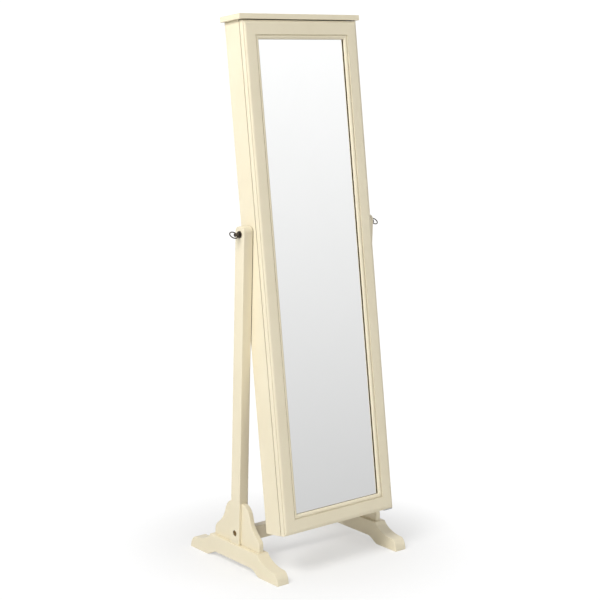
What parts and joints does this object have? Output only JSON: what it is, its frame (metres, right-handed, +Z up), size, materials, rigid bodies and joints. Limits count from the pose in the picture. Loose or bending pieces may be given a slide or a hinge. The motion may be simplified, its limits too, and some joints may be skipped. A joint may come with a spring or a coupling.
{
  "type": "cheval mirror cabinet",
  "caption": "Free-standing cheval mirror whose shallow jewellery cabinet tilts between two posts and opens behind a mirrored door.",
  "frame": {"origin": "on the floor, midway between the two feet in X and between their toes in Y, under the pivot axis", "axes": "+Z up, -Y towards the viewer in front of the mirror, +X to the viewer's right"},
  "size_m": [0.5632, 0.412, 1.5875],
  "materials": {
    "cream_paint": "satin cream lacquer over fibreboard and wood",
    "felt": "short-pile dark lining",
    "brass_hardware": "antique brass",
    "antique_metal": "antique dark nickel, brushed highlights",
    "steel": "zinc-plated steel",
    "mirror": "silvered float glass",
    "fibreboard": "raw hardboard",
    "bare_wood": "bare beech",
    "plastic": "natural nylon",
    "catch_plastic": "moulded plastic with a magnet"
  },
  "bodies": {
    "stand": {"stretcher": "cream_paint", "left_foot": "cream_paint", "right_foot": "cream_paint", "left_post": "cream_paint", "right_post": "cream_paint", "left_front_bracket": "cream_paint", "left_rear_bracket": "cream_paint", "right_front_bracket": "cream_paint", "right_rear_bracket": "cream_paint", "left_rosette": "antique_metal", "right_rosette": "antique_metal", "stretcher_bolts": "brass_hardware", "barrel_nuts": "brass_hardware", "stretcher_dowels": "bare_wood", "bracket_dowels": "bare_wood", "foot_bolts": "brass_hardware"},
    "left_knob": {"left_knob": "antique_metal", "left_knob_stud": "steel"},
    "right_knob": {"right_knob": "antique_metal", "right_knob_stud": "steel"},
    "cabinet": {"left_side_panel": "cream_paint", "right_side_panel": "cream_paint", "top_panel": "cream_paint", "bottom_panel": "cream_paint", "back_panel": "fibreboard", "back_screws": "steel", "top_cap": "cream_paint", "cap_screws": "steel", "lining_panel": "felt", "necklace_rail": "cream_paint", "necklace_hooks": "brass_hardware", "earring_bars": "cream_paint", "ring_cushion": "felt", "shelf_1": "cream_paint", "shelf_2": "cream_paint", "shelf_3": "cream_paint", "shelf_4": "cream_paint", "shelf_lip_1": "cream_paint", "shelf_lip_2": "cream_paint", "shelf_lip_3": "cream_paint", "shelf_lip_4": "cream_paint", "pivot_inserts": "brass_hardware", "spacer_washers": "plastic", "top_pivot_plate": "steel", "bottom_pivot_plate": "steel", "door_pins": "brass_hardware", "magnetic_catch": "catch_plastic"},
    "door": {"left_stile": "cream_paint", "right_stile": "cream_paint", "top_rail": "cream_paint", "bottom_rail": "cream_paint", "mirror_glass": "mirror", "mirror_backing": "fibreboard", "mirror_stops": "cream_paint", "door_leaves": "steel", "strike_plate": "steel"}
  },
  "joints": [
    {"name": "cabinet_tilt", "type": "hinge", "parent": "stand", "child": "cabinet", "pos_m": [0, 0, 0.978], "axis": [1, 0, 0], "range_deg": [-10.85, 9.15]},
    {"name": "door_hinge", "type": "hinge", "parent": "cabinet", "child": "door", "pos_m": [0.2095, -0.04196, 0.98476], "axis": [0, 0.159, 0.9873], "range_deg": [0, 95]},
    {"name": "left_knob_turn", "type": "hinge", "parent": "stand", "child": "left_knob", "pos_m": [-0.2505, 0, 0.978], "axis": [-1, 0, 0], "continuous": true},
    {"name": "right_knob_turn", "type": "hinge", "parent": "stand", "child": "right_knob", "pos_m": [0.2505, 0, 0.978], "axis": [1, 0, 0], "continuous": true}
  ]
}
